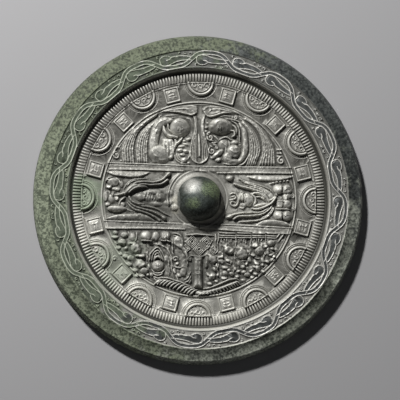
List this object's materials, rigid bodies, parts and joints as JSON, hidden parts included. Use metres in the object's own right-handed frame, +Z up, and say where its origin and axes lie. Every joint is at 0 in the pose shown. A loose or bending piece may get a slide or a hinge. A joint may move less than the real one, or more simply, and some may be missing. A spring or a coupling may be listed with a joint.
{
  "type": "ancient bronze mirror",
  "caption": "Round cast bronze mirror lying face down, its back with a raised scrolled rim, a comb band, a ring of half-discs and squares, figure scenes and a pierced knob.",
  "frame": {"origin": "under the middle of the disc, on the surface that the mirror lies on", "axes": "+Z up through the decorated back, +Y to the top of the design, +X to its right along the knob's cord channel"},
  "size_m": [0.165, 0.165, 0.014],
  "materials": {
    "bronze": "aged grey-brown bronze with green patina"
  },
  "bodies": {
    "root": {"bronze_mirror": "bronze"}
  },
  "joints": []
}
